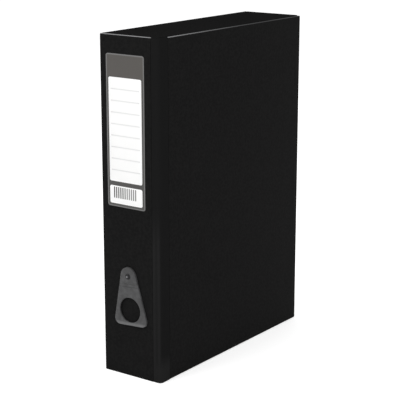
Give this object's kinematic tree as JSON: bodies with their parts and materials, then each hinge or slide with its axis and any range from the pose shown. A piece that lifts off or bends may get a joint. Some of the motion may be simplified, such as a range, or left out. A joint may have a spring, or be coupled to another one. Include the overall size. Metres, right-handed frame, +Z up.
{
  "type": "box file",
  "caption": "Foolscap box file standing on its tail: hinged lid, fore-edge push catch, spine label and finger pull, sprung paper clip inside.",
  "frame": {"origin": "middle of the tail wall's outer face, on which the file stands", "axes": "+Z up along the height, +X through the thickness from the base board to the lid, +Y from the spine to the fore edge"},
  "size_m": [0.076, 0.2722, 0.365],
  "materials": {
    "black_cover": "satin",
    "hinge_cloth": "matte",
    "lining_paper": "matte",
    "label_grey": "satin",
    "label_white": "satin",
    "grey_plastic": "satin",
    "plated_steel": "satin",
    "spring_steel": "satin"
  },
  "bodies": {
    "case": {"base_board": "black_cover", "spine_board": "black_cover", "spine_wall": "black_cover", "head_wall": "black_cover", "tail_wall": "black_cover", "fore_edge_wall": "black_cover", "base_lining": "lining_paper", "hinge_strip": "hinge_cloth", "spine_label": "label_grey", "label_title_panel": "label_white", "label_code_panel": "label_white", "pull_anchor": "grey_plastic", "pull_rivet": "plated_steel", "pull_washer": "plated_steel", "clip_base_plate": "plated_steel", "clip_rivet_1": "plated_steel", "clip_rivet_2": "plated_steel", "clip_pivot_pin": "plated_steel", "clip_spring_upper": "spring_steel", "clip_spring_lower": "spring_steel", "catch_housing": "plated_steel", "catch_bezel": "plated_steel", "catch_spring": "spring_steel", "catch_rivet_1": "plated_steel", "catch_rivet_2": "plated_steel"},
    "lid": {"lid_board": "black_cover", "lid_lining": "lining_paper", "catch_strike": "plated_steel", "strike_rivet_1": "plated_steel", "strike_rivet_2": "plated_steel"},
    "finger_pull": {"finger_pull": "grey_plastic"},
    "clip_arm": {"clip_arm": "plated_steel", "clip_press_bar": "plated_steel"},
    "catch_button": {"catch_button": "plated_steel"}
  },
  "joints": [
    {"name": "lid_hinge", "type": "hinge", "parent": "case", "child": "lid", "pos_m": [0.0384, -0.12, 0.1825], "axis": [0, 0, -1], "range_deg": [0, 180]},
    {"name": "pull_hinge", "type": "hinge", "parent": "case", "child": "finger_pull", "pos_m": [-0.00239, -0.1328, 0.10202], "axis": [-0.9981, 0, -0.061], "range_deg": [0, 75]},
    {"name": "clip_hinge", "type": "hinge", "parent": "case", "child": "clip_arm", "pos_m": [-0.0275, -0.072, 0.1825], "axis": [0, 0, -1], "range_deg": [0, 95], "stiffness_Nm_per_rad": 0.2, "springref_deg": -85.94, "deforming": ["clip_spring_upper", "clip_spring_lower"]},
    {"name": "catch_press", "type": "slide", "parent": "case", "child": "catch_button", "axis": [0, -1, 0], "range_m": [0, 0.0025], "stiffness_N_per_m": 200, "springref_m": -0.002, "deforming": ["catch_spring"]}
  ]
}
